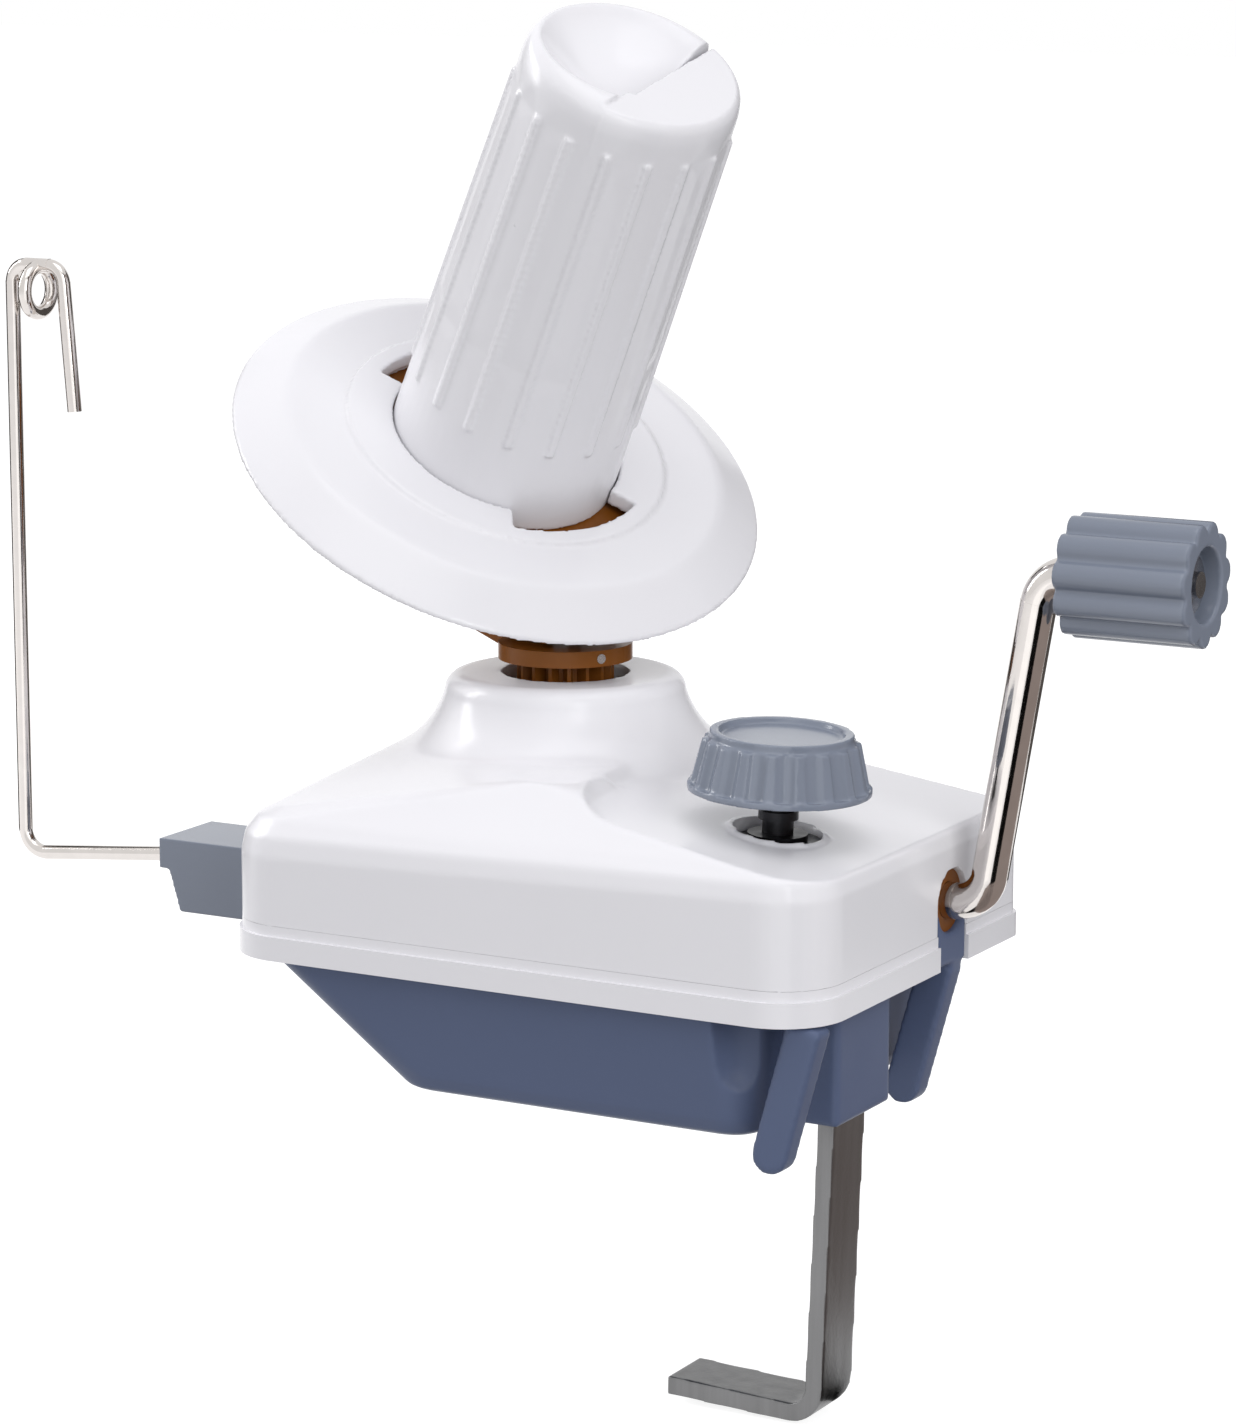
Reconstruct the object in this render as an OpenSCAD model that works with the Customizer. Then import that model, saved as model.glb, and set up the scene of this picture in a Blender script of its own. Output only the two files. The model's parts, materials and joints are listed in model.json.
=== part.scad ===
// Hand-cranked yarn ball winder with a table clamp.
// Millimetres, +Z up. Origin: on the spindle axis, in the table plane under the base.
// +X runs to the crank end, -Y to the front.

/* [Cover] */
// height of the flat neck top above the table plane
neck_top = 62.5; // [61:0.5:66]
// outer radius of the neck
neck_radius = 19.4; // [19:0.1:20]
// radius of the round opening in the neck
neck_hole_radius = 10.6; // [9.8:0.1:12]
// rounding of the neck's outer top edge
neck_round = 3; // [1.5:0.5:4]
// radius of the concave flare at the foot of the neck
neck_flare = 17; // [15:0.5:18]
// height of the flare's centre above the neck's top
flare_rise = 2; // [1:0.5:3]
// radius where the flare runs out into the roof
flare_reach = 28; // [26:0.5:29]
// radius of the roof's top around the neck
roof_radius = 27.5; // [26:0.5:29]
// height of the roof's top around the neck
roof_height = 50; // [49:0.2:51]
// distance from the spindle axis to the cover's left end
cover_left = 37; // [36:0.5:39]
// distance from the spindle axis to the cover's crank end
cover_right = 72; // [71.5:0.5:75]
// distance from the spindle axis to the cover's front
cover_front = 51; // [50:0.5:53]
// distance from the spindle axis to the cover's back
cover_back = 27; // [25:0.5:29]
// plan radius of the cover's front corners
cover_corner = 11; // [9:0.5:12]
// plan radius of the cover's back corners
back_corner = 4; // [3.5:0.5:6]
// height of the cover's lower rim
rim_height = 20.5; // [19.5:0.5:21.5]
// height of the raised lip around the rim
lip_height = 4; // [2:0.5:5]
// how far the lip stands out
lip_step = 0.5; // [0.2:0.1:1]
// wall thickness of the cover
cover_wall = 2.2; // [1.8:0.1:2.6]
// height of the wall's upper edge at the left end
wall_top_left = 37.4; // [36:0.2:39]
// height of the wall's upper edge at the crank end
wall_top_right = 40; // [39:0.2:41]
// height of the rounded shoulder at the left end
shoulder_left = 45; // [44:0.5:46]
// height of the rounded shoulder at the crank end
shoulder_right = 46.5; // [45:0.5:48]
// width of the rounded shoulder
shoulder_width = 8; // [6:0.5:9]
// slope of the knob platform toward the crank end, degrees
platform_slope = 8; // [6:0.5:10]
// height of the platform at the knob
platform_height = 45.2; // [44.5:0.1:46]
// radius of the round bay that the platform makes around the knob
bay_radius = 32; // [30:0.5:33]
// rounding between the platform and the bay's bank
bay_round = 5; // [3:0.5:7]
// place of the bank's crest along X
crest_x = 17; // [15:0.5:19]
// place of the bank's crest along Y
crest_y = -33; // [-35:0.5:-31]
// plan radius of the bank's crest
crest_radius = 6; // [5:0.5:7]
// height of the bank's crest
crest_height = 52; // [51:0.2:53]
// radius of the neck's flank where the platform meets it
flank_radius = 21; // [20:0.2:23]

/* [Base] */
// wall thickness of the base
base_wall = 2; // [1.6:0.1:2.4]
// left end of the belly at the rim
belly_left_top = 31; // [29:0.5:32]
// left end of the belly's flat underside
belly_left = 8; // [6:0.5:10]
// crank end of the belly
belly_right = 59; // [57:0.5:59.5]
// front of the belly's flat underside
belly_front = 45; // [43:0.5:46]
// back of the belly's flat underside
belly_back = 19; // [17:0.5:20]
// how far the belly widens from its underside to the rim
belly_draft = 3; // [2:0.2:3.2]
// plan radius of the belly's corners
belly_corner = 7; // [5:0.5:9]
// rounding of the belly's lower edges
belly_round = 3; // [1:0.5:4]
// radius of the scoop in the belly's front corner
scoop_radius = 6; // [4:0.5:7]
// height where the scoop ends in a round
scoop_low = 12; // [10:0.5:14]
// thickness of the plate that closes the cover's underside
plate_thick = 2; // [1.6:0.1:2.4]
// gap between that plate and the cover's wall
plate_gap = 0.15; // [0.1:0.05:0.3]
// width of each slanted fin
fin_width = 6; // [5:0.5:7]
// thickness of each slanted fin
fin_thick = 4.6; // [4:0.2:6]
// distance of the fin's root from the spindle axis
fin_root = 68.5; // [67:0.5:69]
// distance of the fin's tip from the spindle axis
fin_tip = 62.6; // [62.6:0.2:64]
// how far the fins reach below the table plane
fin_drop = 3.8; // [2:0.2:5]
// front face of the near fin
near_fin = -47.4; // [-48:0.2:-44]
// front face of the far fin
far_fin = 0; // [-1:0.2:4]
// end face of the clamp box
box_end = 68.4; // [68:0.1:69]
// half width of the clamp box
box_half = 9.5; // [8.5:0.5:11]
// height of the clamp box's underside
box_low = 1.4; // [1:0.2:3]
// radius of the spindle boss
boss_radius = 6.6; // [6:0.2:7.5]
// height of the spindle boss
boss_height = 13; // [11:0.5:13]

/* [Screws] */
// height where the cover's pillars meet the base's pillars
pillar_split = 26; // [25:0.5:28]
// radius of the pillars
pillar_radius = 3.6; // [3.4:0.1:4]
// radius of the cover screws
fastener_radius = 1.5; // [1.25:0.05:1.75]
// head radius of the cover screws
head_radius = 2.8; // [2.5:0.1:3]
// head height of the cover screws
head_height = 2; // [1.6:0.1:2.4]
// depth of the screws in the cover's pillars
bite = 8; // [6:0.5:9]
// height of the right screws' heads above the table plane
head_depth = 3; // [2:0.5:5]
// height of the left screws' heads, in the belly's slanted end
head_rise = 14; // [13:0.5:15]

/* [Drive] */
// height of the crank shaft above the table plane
crank_height = 31.2; // [30.4:0.1:31.4]
// teeth of the spindle pinion
pinion_teeth = 16; // [16:2:16]
// teeth of the crown gear
crown_teeth = 32; // [32:2:32]
// tooth size of the crank gears
drive_module = 0.9; // [0.88:0.01:0.92]
// length of the crown teeth along the radius
crown_face = 3.4; // [3:0.1:3.4]
// thickness of the crown gear's plate
crown_plate = 2.7; // [2.2:0.1:3.5]
// radius of the crown gear's hub
crown_hub = 7; // [6:0.5:8]
// length of the crown gear's hub
crown_hub_length = 12; // [10:0.5:13]
// lower end of the pinion's teeth
pinion_low = 35; // [34:0.5:37]
// radius of the spindle's lower journal
journal_radius = 4; // [3.8:0.1:4.2]
// height where the journal begins
journal_low = 4; // [3.5:0.5:5]
// radius of the steel post inside the spindle
post_radius = 2.5; // [2.3:0.1:2.6]
// radial running clearance of the bearings
running = 0.05; // [0.03:0.01:0.08]
// radius of the carrier's flange above the neck
flange_radius = 11.2; // [10.8:0.1:12]
// thickness of the carrier's flange
flange_thick = 2.7; // [2.4:0.1:2.8]
// gap between the neck top and the flange
flange_gap = 2.3; // [1.5:0.1:3]
// radius of the steel cross pin in the flange
cross_pin = 0.8; // [0.6:0.1:1]
// how far the cross pin stands out of the flange
pin_proud = 0.2; // [0:0.1:0.4]

/* [Winder] */
// lean of the winding cone from the vertical, degrees
lean = 32.4; // [31.8:0.1:33]
// direction of the lean at rest, degrees from +X
lean_heading = -29; // [-35:1:-20]
// height above the neck where the cone's axis meets the spindle axis
apex_rise = 66.5; // [66:0.1:67]
// teeth of the fixed sun gear
sun_teeth = 10; // [10:2:10]
// teeth of the turntable gear
table_teeth = 30; // [30:2:30]
// face width of the turntable gear along its axis
table_face = 4.5; // [4:0.1:4.6]
// distance from the crossing point to the upper end of the turntable gear
gear_depth = 51; // [50.8:0.1:51]
// distance from the crossing point to the turntable plate's underside
table_depth = 41.2; // [40:0.1:42.5]
// thickness of the turntable plate
table_plate = 2.2; // [1.8:0.1:2.2]
// radius of the turntable's neck between its plate and its gear
table_neck = 15; // [12:0.5:17]
// radius of the turntable plate
table_radius = 27; // [26:0.5:28]
// radius of the turntable's sleeve
sleeve_radius = 7.5; // [6:0.5:9]
// distance from the crossing point to the sleeve's upper end
sleeve_top = 8.5; // [7:0.5:12]
// radius of the tilted axle
axle_radius = 3; // [2.5:0.1:3.2]
// radius of the carrier's boss around the axle
axle_boss = 9; // [7:0.5:9]
// distance from the crossing point to the boss's lower end
axle_boss_low = 66; // [65:0.5:67]
// axial play between the turntable and the boss
table_play = 0.4; // [0.3:0.1:0.5]
// radius of the disc's flat top
disc_flat_radius = 38; // [36:0.5:40]
// outer radius of the disc's sloping skirt
disc_radius = 46.1; // [44:0.1:48]
// height of the disc's sloping skirt
disc_skirt = 5.9; // [5:0.1:7]
// thickness of the disc
disc_wall = 2.2; // [1.8:0.1:2.2]
// radius of the raised ring around the cone
disc_ring = 27.8; // [27.4:0.1:29]
// height of the raised ring around the cone
disc_ring_step = 0.8; // [0.4:0.1:1]
// radius of the cone's outside at the disc
cone_base = 19.7; // [19:0.1:20]
// radius of the cone's outside at its top
cone_tip = 18.1; // [17:0.1:18.6]
// distance from the crossing point to the cone's top
cone_top = 40.4; // [38:0.2:44]
// wall thickness of the cone
cone_wall = 2; // [1.6:0.1:2.4]
// rounding of the cone's top edge
cone_round = 5; // [3:0.5:6]
// number of thin ribs along the cone
rib_count = 17; // [12:1:20]
// width of a rib
rib_width = 1.2; // [0.8:0.1:1.6]
// height of a rib
rib_rise = 0.5; // [0.3:0.1:0.8]
// length of a rib
rib_length = 56; // [45:1:57]
// lower end of the ribs below the crossing point
rib_low = 23.5; // [20:0.5:26]
// radius of the dished hollow in the cone's top
dish_radius = 13.5; // [11:0.5:14.5]
// depth of the dished hollow
dish_depth = 6; // [3:0.5:8]
// sideways offset of the dished hollow
dish_offset = 3; // [0:0.5:3.5]
// width of the yarn slit
slit_width = 0.8; // [0.6:0.1:1.4]
// depth of the yarn slit
slit_depth = 9; // [6:0.5:12]
// distance of the slit from the cone's axis
slit_offset = 4.2; // [3.5:0.1:6]
// direction of the slit's chord, degrees
slit_heading = 119; // [0:1:180]
// how far the flap beside the slit sits below the rim
flap_step = 1; // [0.5:0.1:2]
// outer radius of the bayonet openings and lugs
bayonet_radius = 24.6; // [24:0.1:25]
// angle of each bayonet opening, degrees
bayonet_angle = 62; // [50:1:64]
// start of the first bayonet opening, degrees
bayonet_start = -24; // [-40:1:0]
// thickness of the cone's lugs
lug_thick = 1.2; // [0.9:0.1:1.2]

/* [Clamp] */
// distance of the knob from the spindle axis along X
knob_x = 52.8; // [51:0.1:54]
// distance of the knob from the spindle axis along Y
knob_y = -25.4; // [-26.5:0.1:-24.5]
// lean of the clamp from the vertical, degrees
clamp_lean = 2.5; // [2:0.1:3]
// radius of the knob's flange
knob_radius = 14.6; // [14:0.1:16]
// radius of the knob's fluted skirt at its shoulder
knob_shoulder = 12.5; // [12:0.1:13]
// radius of the knob's top rim
knob_rim = 11.4; // [11:0.1:11.8]
// height of the knob
knob_height = 12.6; // [11:0.1:14]
// height of the knob's underside above the platform
knob_lift = 3.8; // [3:0.1:5]
// number of flutes around the knob
knob_flutes = 18; // [14:1:20]
// radius of each flute
flute_radius = 2.3; // [1.8:0.1:2.6]
// depth of the dish in the knob's top
knob_dish = 1.2; // [0.6:0.1:2]
// wall thickness of the knob
knob_wall = 2; // [1.6:0.1:2.4]
// radius of the clamp screw
screw_radius = 2.5; // [2.4:0.1:2.6]
// length of the clamp screw below the platform
screw_length = 43; // [40:0.5:43]
// radius of the hole around the screw in the platform
recess_radius = 7; // [6:0.1:7.5]
// depth of the hole around the screw
recess_depth = 2; // [1.5:0.1:2.5]
// thickness of the washer under the screw's shoulder
washer_thick = 1; // [0.8:0.1:1.2]
// thickness of the flat steel bar
bar_thick = 3; // [2.8:0.1:3.2]
// width of the flat steel bar
bar_width = 11; // [10:0.5:12]
// distance from the screw to the bar's leg
bar_reach = 12.1; // [11.8:0.1:13]
// length of the foot from the screw toward the table
foot_reach = 12.5; // [10:0.5:14]
// length of the upper arm past the screw
arm_reach = 6; // [5:0.5:7]
// distance from the platform to the upper arm's top at rest
arm_depth = 34; // [33:0.5:35]
// distance from the platform to the foot's top at rest
foot_depth = 91.2; // [85:0.2:95]
// outer radius of the bar's bends
bar_bend = 6; // [5:0.5:7]
// clearance of the bar in its slot
bar_gap = 0.35; // [0.3:0.05:0.5]

/* [Crank] */
// radius of the crank rod
rod_radius = 3; // [2.8:0.1:3.1]
// where the rod starts to bend, from the spindle axis
rod_out = 72.1; // [71.6:0.1:74]
// mean radius of the lower bend
bend_low = 6; // [5:0.5:8]
// mean radius of the upper bend
bend_high = 6; // [5:0.5:8]
// lean of the crank arm, degrees
arm_lean = 9.7; // [8:0.1:11]
// distance from the crank shaft to the grip's axis
crank_throw = 54.6; // [50:0.2:60]
// length of the grip
grip_length = 22; // [20:0.5:26]
// outer radius of the grip
grip_radius = 10; // [9:0.1:11]
// number of rounded lobes around the grip
grip_lobes = 11; // [9:1:13]
// radius of each lobe
lobe_radius = 2.3; // [1.8:0.1:2.6]
// radius of the counterbore in the grip's end
grip_bore = 6; // [5:0.1:6.5]
// depth of the counterbore in the grip's end
grip_bore_depth = 3.5; // [2.5:0.5:5]
// radius of the brown bush around the rod
bush_radius = 5.2; // [4.8:0.1:5.4]
// length of the bush
bush_length = 7; // [5:0.5:8]
// thickness of the inner bearing pillar
pillar_thick = 6; // [5:0.5:8]
// how far the bush sits back from the wall's outside
bush_recess = 1; // [1:0.1:1.5]

/* [Yarn guide] */
// radius of the guide wire
wire_radius = 1.25; // [1.1:0.05:1.4]
// distance of the guide from the spindle axis along Y
guide_y = -16; // [-18:0.5:-14]
// distance of the wire's upright leg from the spindle axis
wire_out = 99.7; // [95:0.1:104]
// height of the wire where it enters the holder
wire_height = 27.2; // [26.6:0.1:27.6]
// droop of the wire's lower leg, degrees
wire_droop = 5.5; // [4:0.5:7]
// height of the wire's top
wire_top = 127; // [120:0.5:132]
// mean radius of the lower elbow
elbow_radius = 4; // [3:0.5:6]
// mean radius of the upper bends
hook_bend = 3; // [2.5:0.5:4]
// mean radius of the eye
eye_radius = 3.9; // [3:0.1:4.5]
// distance between the two upper bends
hook_span = 4.6; // [4:0.2:6]
// lean of the hook's free end, degrees
hook_lean = 4.7; // [0:0.1:8]
// length of the hook's free end
hook_length = 22; // [18:0.5:26]
// length of the holder outside the cover
holder_length = 29; // [26:0.5:32]
// width of the holder
holder_width = 16; // [14:0.5:18]
// height of the holder's top
holder_top = 31.5; // [31:0.1:33]
// height of the holder's underside
holder_low = 19; // [18:0.5:20]
// length of the holder's slanted nose
nose_length = 4; // [3:0.5:6]
// height of the holder's nose
nose_height = 5.2; // [5:0.1:6]
// how far the holder's tab reaches into the cover
tab_length = 8; // [6:0.5:10]
// width of the tab
tab_width = 10; // [8:0.5:12]

/* [Hidden] */
$fn = 64;

white = [0.95, 0.95, 0.94];
blue_grey = [0.36, 0.43, 0.53];
brown = [0.45, 0.27, 0.12];
steel = [0.72, 0.72, 0.73];
black = [0.08, 0.08, 0.09];

// small overlap that joins faces
weld = 0.5;
// how much thinner a bent rod is in its bends, and how far its straight lengths run into them
thinning = 0.05;
lap = 0.2;
// cut-through margin
past = 2;
// length of the large cutting blocks
block = 200;
// steps of the rounded shoulder, degrees
shoulder_steps = [0, 25, 50, 75, 90];
// corner facets inside hulls and least radius of a corner there
hull_facets = 40;
edge_min = 0.6;
flare_inset = 0.3;
// steps of the belly's rounded lower edges, degrees
belly_steps = [0, 45, 90];

// raised rim around the screw hole in the platform
recess_rim = 0.7;
// clearance of the cover screws and of their heads
fastener_gap = 0.2;
head_gap = 0.4;
// land outside the crown teeth and wall that closes the crown's bore
crown_land = 0.4;
rod_cap = 1.4;
// tooth heights of the spur and bevel gears in modules
spur_foot = 1.4;
crown_foot = 1.25;
bevel_head = 0.75;
bevel_foot = 1.3;
bevel_reach = 0.8;
// half angles of the gear teeth at root and tip, degrees
pinion_root_half = 8;
pinion_tip_half = 2.1;
sun_root_half = 11.5;
sun_tip_half = 2.6;
table_root_half = 3.6;
table_tip_half = 1.3;
// half widths of the crown teeth at tip and root
crown_tip_half = 0.22;
crown_root_half = 0.75;
// start and half width of the carrier's slanted arm
arm_root = 6.5;
arm_half = 6.5;
// closed floor below the axle and wall behind the cross pin
axle_floor = 2;
pin_wall = 1.5;
// step of the axle screw's head inside the sleeve
axle_step = 1.5;
// gaps between the disc, the cone and the turntable
cone_gap = 0.2;
table_gap = 0.1;
lug_gap = 0.3;
// land at the skirt's edge and wall of the disc's locating ring
edge_land = 0.8;
locating_wall = 1.6;
bayonet_wall = 0.6;
// turn of the lugs past the openings and their length, degrees
lug_turn = 15;
lug_angle = 90;
// turn of the first rib, degrees
rib_turn = 6;
// axial play of the grip, and sizes of its rivet head
grip_play = 0.4;
rivet_step = 1.4;
rivet_thick = 0.8;
rivet_pin = 0.9;
rivet_length = 2;
// share of a lobe that stands clear of the grip's core
lobe_sink = 0.35;
// sizes of the knob's flange, rim and flutes
knob_flange = 1.6;
knob_rim_rise = 2;
knob_flange_step = 0.5;
knob_rim_fall = 0.4;
knob_rim_width = 1.4;
knob_dish_run = 0.4;
flute_depth = 0.7;
knob_core_gap = 0.6;
// shoulder of the clamp screw above its washer
screw_play = 0.1;
screw_shoulder_gap = 2.2;
screw_shoulder_thick = 1;
screw_collar = 0.7;
screw_collar_height = 1.4;
washer_gap = 0.4;
// play of the holder's tab and blind end of its bore
tab_gap = 0.05;
bore_floor = 5;
wire_end_gap = 0.5;
holder_notch = 1.8;

// places of the cover screws in plan: left pair, then right pair
screw_left = -18;
screw_right = [50, 42];
screw_back = 12;
screw_front = -38;
screw_spots = [[screw_left, screw_back, head_rise], [screw_left, screw_front, head_rise],
  [screw_right[0], screw_back, head_depth], [screw_right[1], screw_front, head_depth]];

pinion_pitch = pinion_teeth * drive_module / 2;
pinion_tip = pinion_pitch + drive_module;
pinion_root = pinion_pitch - spur_foot * drive_module;
crown_pitch = crown_teeth * drive_module / 2;
crown_inner = crown_pitch - crown_face / 4;
crown_outer = crown_inner + crown_face;
crown_tooth_tip = pinion_pitch - drive_module;
crown_tooth_root = pinion_pitch + crown_foot * drive_module;
crown_edge = crown_outer + crown_land;
rod_start = crown_tooth_root + rod_cap;
clip_thick = 1;
clip_step = 2.5;
clip_play = 0.4;
pillar_at = crown_tooth_root + crown_plate + crown_hub_length + clip_play;

disc_top = table_depth - table_plate - table_gap - lug_thick - disc_wall;
disc_low = disc_top + disc_skirt;
plate_low = rim_height + plate_gap;

flange_low = neck_top + flange_gap;
flange_top = flange_low + flange_thick;
apex = neck_top + apex_rise;
table_ratio = table_teeth / sun_teeth;
sun_cone = atan(sin(lean) / (table_ratio + cos(lean)));
table_cone = lean - sun_cone;
table_gear_low = gear_depth + table_face;
sun_scale = cos(sun_cone) / cos(table_cone);
sun_low = table_gear_low * sun_scale;
sun_high = gear_depth * sun_scale;
boss_high = table_gear_low + table_play;
sun_reach = sun_low * tan(sun_cone) * (1 + 2 * bevel_reach / sun_teeth);
table_reach = table_gear_low * tan(table_cone) * (1 + 2 * bevel_reach / table_teeth);

grip_axis = crank_height + crank_throw;
arm_length = (crank_throw - (bend_low + bend_high) * (1 - sin(arm_lean))) / cos(arm_lean);
elbow_x = rod_out + bend_low * cos(arm_lean);
elbow_z = crank_height + bend_low * (1 - sin(arm_lean));
arm_end_x = elbow_x + arm_length * sin(arm_lean);
arm_end_z = elbow_z + arm_length * cos(arm_lean);
grip_start = arm_end_x + bend_high * cos(arm_lean);

wire_corner = wire_height - (wire_out - cover_left - holder_length) * tan(wire_droop);
elbow_cut = elbow_radius * tan((90 + wire_droop) / 2);

// height where a cover screw's head bears
function head_seat(spot) = spot[2] + head_height;

// point in the upright plane of the leaning axis, by its depth and its distance to the side
function lean_point(depth, side) = [side * cos(lean) - depth * sin(lean),
  apex - depth * cos(lean) - side * sin(lean)];

// pole at a plan position between two heights
module pole(x, y, r, low, high) {
  translate([x, y, low])
    cylinder(r = r, h = high - low);
}

// moves into the frame of the leaning cone, with its crossing point as origin
module lean_frame() {
  translate([0, 0, apex])
    rotate([0, 0, lean_heading])
      rotate([0, lean, 0])
        children();
}

// moves into the frame of the leaning clamp, with the platform at the screw as origin
module clamp_frame() {
  translate([knob_x, knob_y, platform_height])
    rotate([0, clamp_lean, 0])
      children();
}

// gear outline with straight flanks, one tooth centred on +X
module gear_outline(teeth, root, tip, root_half, tip_half) {
  step = 360 / teeth;
  polygon([for (i = [0 : teeth - 1]) each [
    [root * cos(i * step - root_half), root * sin(i * step - root_half)],
    [tip * cos(i * step - tip_half), tip * sin(i * step - tip_half)],
    [tip * cos(i * step + tip_half), tip * sin(i * step + tip_half)],
    [root * cos(i * step + root_half), root * sin(i * step + root_half)]]]);
}

// rounded rectangle in plan, shrunk by an inset
module plan_outline(inset) {
  length = cover_left + cover_right;
  for (x = [-cover_left + cover_corner, cover_right - cover_corner])
    translate([x, -cover_front + cover_corner])
      circle(r = cover_corner - inset);
  for (x = [-cover_left + back_corner, cover_right - back_corner])
    translate([x, cover_back - back_corner])
      circle(r = back_corner - inset);
  translate([-cover_left + cover_corner, -cover_front + inset])
    square([length - 2 * cover_corner, cover_front]);
  translate([-cover_left + back_corner, 0])
    square([length - 2 * back_corner, cover_back - inset]);
  translate([-cover_left + inset, -cover_front + cover_corner])
    square([length - 2 * inset, cover_front + cover_back - cover_corner - back_corner]);
}

// walls, rounded shoulders, roof and crest of the cover as one bulging body
module cover_bulk(inset, low) {
  hull() {
    for (end = [-1, 1], side = [-1, 1], turn = shoulder_steps) {
      corner = side < 0 ? cover_corner : back_corner;
      wall_top = end < 0 ? wall_top_left : wall_top_right;
      shoulder = end < 0 ? shoulder_left : shoulder_right;
      shrink = lip_step + shoulder_width * (1 - cos(turn)) + inset;
      r = max(corner - shrink, edge_min);
      x = end < 0 ? -cover_left + shrink + r : cover_right - shrink - r;
      y = side < 0 ? -cover_front + shrink + r : cover_back - shrink - r;
      top = wall_top + (shoulder - wall_top) * sin(turn) - inset;
      pole(x, y, r, low, top, $fn = hull_facets);
    }
    intersection() {
      pole(0, 0, roof_radius - inset, low, roof_height - inset, $fn = hull_facets);
      translate([-block / 2, cover_back - lip_step - inset - block, -block / 2])
        cube(block);
    }
    pole(crest_x, crest_y, crest_radius - inset, low, crest_height - inset, $fn = hull_facets);
  }
}

// space above the sloping knob platform: a round bay, open to the crank end and the back
module above_platform(drop) {
  reach = bay_radius + drop;
  difference() {
    translate([knob_x, knob_y, platform_height - drop])
      rotate([0, platform_slope, 0]) {
        rotate_extrude() {
          square([reach - bay_round, block]);
          translate([0, bay_round])
            square([reach, block]);
          translate([reach - bay_round, bay_round])
            circle(r = bay_round);
        }
        translate([0, -block / 2, 0])
          cube([block, block, block]);
        translate([-reach, 0, 0])
          cube([reach + past, block, block]);
      }
    cylinder(r = flank_radius - drop, h = block);
  }
}

module cover_skin() {
  difference() {
    cover_bulk(0, rim_height);
    above_platform(0);
  }
  linear_extrude(height = rim_height + lip_height)
    plan_outline(0);
}

// neck with its flare, out to a radius
module neck_turned(reach) {
  flare_at = neck_radius + neck_flare;
  flare_z = neck_top + flare_rise;
  round_z = neck_top - neck_round;
  edge = flare_at - sqrt(pow(neck_flare, 2) - pow(flare_z - round_z, 2));
  rotate_extrude() {
    difference() {
      translate([neck_hole_radius, rim_height])
        square([reach - neck_hole_radius, round_z - rim_height]);
      translate([flare_at, flare_z])
        circle(r = neck_flare);
    }
    translate([neck_hole_radius, rim_height])
      square([edge - neck_round - neck_hole_radius, neck_top - rim_height]);
    translate([edge - neck_round, round_z])
      circle(r = neck_round);
  }
}

module neck_body() {
  difference() {
    neck_turned(neck_radius + neck_flare);
    difference() {
      translate([-block, -block / 2, 0])
        cube([block + knob_x - bay_radius, block, block]);
      cylinder(r = flare_reach, h = block);
    }
    translate([-block / 2, cover_back - lip_step - flare_inset, 0])
      cube(block);
  }
}

module cover() {
  slot_radius = bush_radius + running;
  color(white) {
    difference() {
      union() {
        cover_skin();
        neck_body();
        intersection() {
          clamp_frame()
            pole(0, 0, recess_radius + cover_wall, -recess_depth - 2 * cover_wall, -cover_wall / 2);
          cylinder(r = block, h = platform_height);
        }
        translate([knob_x, knob_y, platform_height])
          rotate([0, platform_slope, 0])
            pole(0, 0, recess_radius + recess_rim, -cover_wall, recess_rim);
      }
      linear_extrude(height = 2 * rim_height, center = true)
        square(block * 2, center = true);
      difference() {
        cover_bulk(cover_wall, rim_height - past);
        above_platform(cover_wall);
        clamp_frame()
          pole(0, 0, recess_radius + cover_wall, -recess_depth - 2 * cover_wall, 0);
        for (spot = screw_spots)
          pole(spot[0], spot[1], pillar_radius, pillar_split, block);
      }
      linear_extrude(height = rim_height + lip_height)
        plan_outline(lip_step + cover_wall);
      pole(0, 0, neck_hole_radius, rim_height, neck_top + past);
      pole(0, 0, neck_radius - cover_wall, rim_height, neck_top - neck_round);
      clamp_frame() {
        pole(0, 0, recess_radius, -recess_depth, recess_depth + past);
        pole(0, 0, screw_radius + running, -block / 2, 0);
      }
      translate([cover_right - cover_corner, 0, crank_height])
        rotate([0, 90, 0])
          cylinder(r = slot_radius, h = cover_corner + past);
      translate([cover_right - cover_corner, -slot_radius, rim_height - past])
        cube([cover_corner + past, 2 * slot_radius, crank_height - rim_height + past]);
      translate([-cover_left - past, guide_y - tab_width / 2, holder_low + nose_height])
        cube([cover_wall + 2 * past, tab_width, holder_top - holder_low - 2 * nose_height + nose_length]);
      for (spot = screw_spots)
        pole(spot[0], spot[1], fastener_radius, pillar_split - past, pillar_split + bite);
    }
  }
}

// belly of the base with rounded lower edges, shrunk by an inset
module belly(inset, low, high) {
  hull() {
    for (y = [-belly_front + belly_corner, belly_back - belly_corner]) {
      for (x = [-belly_left + belly_corner, belly_right - belly_corner], turn = belly_steps)
        pole(x, y, belly_corner - inset - belly_round * (1 - sin(turn)), low + belly_round * (1 - cos(turn)),
          low + belly_round + weld, $fn = hull_facets);
      side = y < (belly_back - belly_front) / 2 ? -belly_draft : belly_draft;
      for (x = [-belly_left_top + belly_corner, belly_right - belly_corner])
        pole(x, y + side, belly_corner - inset, plate_low, high, $fn = hull_facets);
    }
  }
}

module fin(front) {
  run = fin_root - fin_tip;
  drop = rim_height + fin_drop - fin_width / 2;
  tilt = atan(run / drop);
  translate([fin_tip, front + fin_thick, fin_width / 2 - fin_drop])
    rotate([90, 0, 0])
      linear_extrude(height = fin_thick) {
        circle(d = fin_width);
        rotate(-tilt)
          translate([-fin_width / 2, 0])
            square([fin_width, drop / cos(tilt)]);
      }
}

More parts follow.
